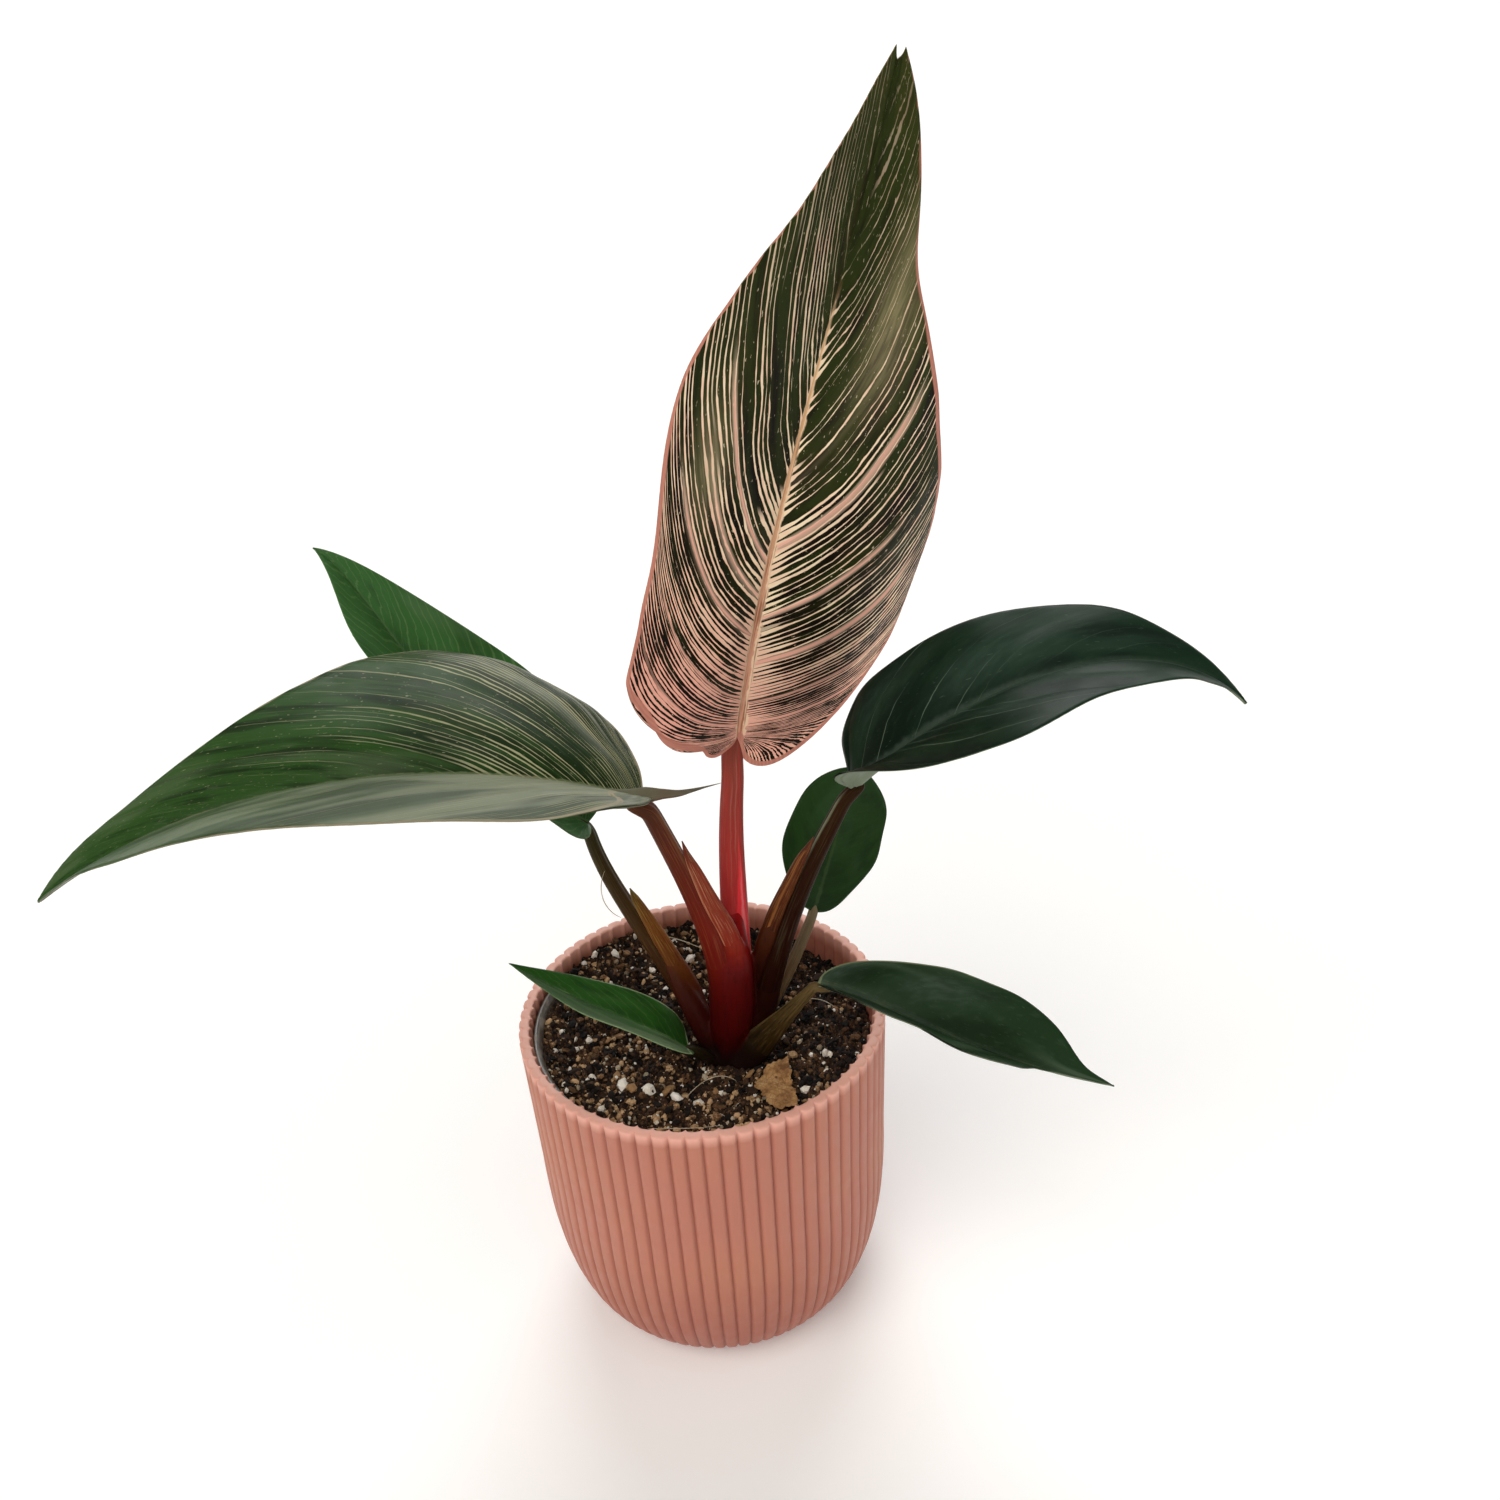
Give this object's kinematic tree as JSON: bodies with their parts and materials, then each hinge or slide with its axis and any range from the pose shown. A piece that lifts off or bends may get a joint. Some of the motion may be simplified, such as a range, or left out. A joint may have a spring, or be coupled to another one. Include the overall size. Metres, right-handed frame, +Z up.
{
  "type": "potted pink birkin philodendron",
  "caption": "Potted foliage plant: striped, pink-flushed heart-shaped leaves on red petioles rise from a crown in dark potting mix, in a ribbed round cover pot.",
  "frame": {"origin": "centre of the cover pot's flat base", "axes": "+Z up along the axis of the pot, -Y towards the front, where the tall leaf shows its upper face, +X to the right seen from the front"},
  "size_m": [0.3025, 0.1245, 0.361],
  "materials": {
    "pot_plastic": "matte moulded salmon-pink plastic with fine ribs",
    "liner_plastic": "thin thermoformed grey plastic with a soft shine",
    "soil": "moist peat and bark with white perlite grains",
    "crown_skin": "smooth waxy dark red plant skin",
    "petiole_coral": "smooth waxy coral-red plant skin",
    "petiole_brick": "smooth waxy brick-red plant skin",
    "petiole_olive": "smooth waxy olive-brown plant skin",
    "petiole_dark": "smooth waxy dark brown plant skin",
    "petiole_pale": "smooth waxy pale khaki plant skin",
    "petiole_khaki": "smooth waxy khaki-brown plant skin",
    "leaf_pink_striped": "glossy near-black green with pink and cream stripes",
    "leaf_green_striped": "glossy green with fine cream pinstripes",
    "leaf_plain_green": "satin mid-green leaf with light veins",
    "leaf_dark_green": "glossy dark blue-green leaf with pale veins",
    "dry_leaf": "dry papery tan leaf"
  },
  "bodies": {
    "root": {"cover_pot": "pot_plastic", "nursery_pot": "liner_plastic", "potting_soil": "soil", "crown": "crown_skin", "petiole_upright": "petiole_coral", "petiole_left": "petiole_brick", "petiole_back_left": "petiole_olive", "petiole_right": "petiole_dark", "petiole_young": "petiole_pale", "petiole_low_right": "petiole_khaki", "petiole_low_left": "petiole_khaki", "blade_upright": "leaf_pink_striped", "blade_left": "leaf_green_striped", "blade_back_left": "leaf_plain_green", "blade_right": "leaf_dark_green", "blade_young": "leaf_dark_green", "blade_low_right": "leaf_dark_green", "blade_low_left": "leaf_plain_green", "dry_leaf_scrap": "dry_leaf"}
  },
  "joints": []
}
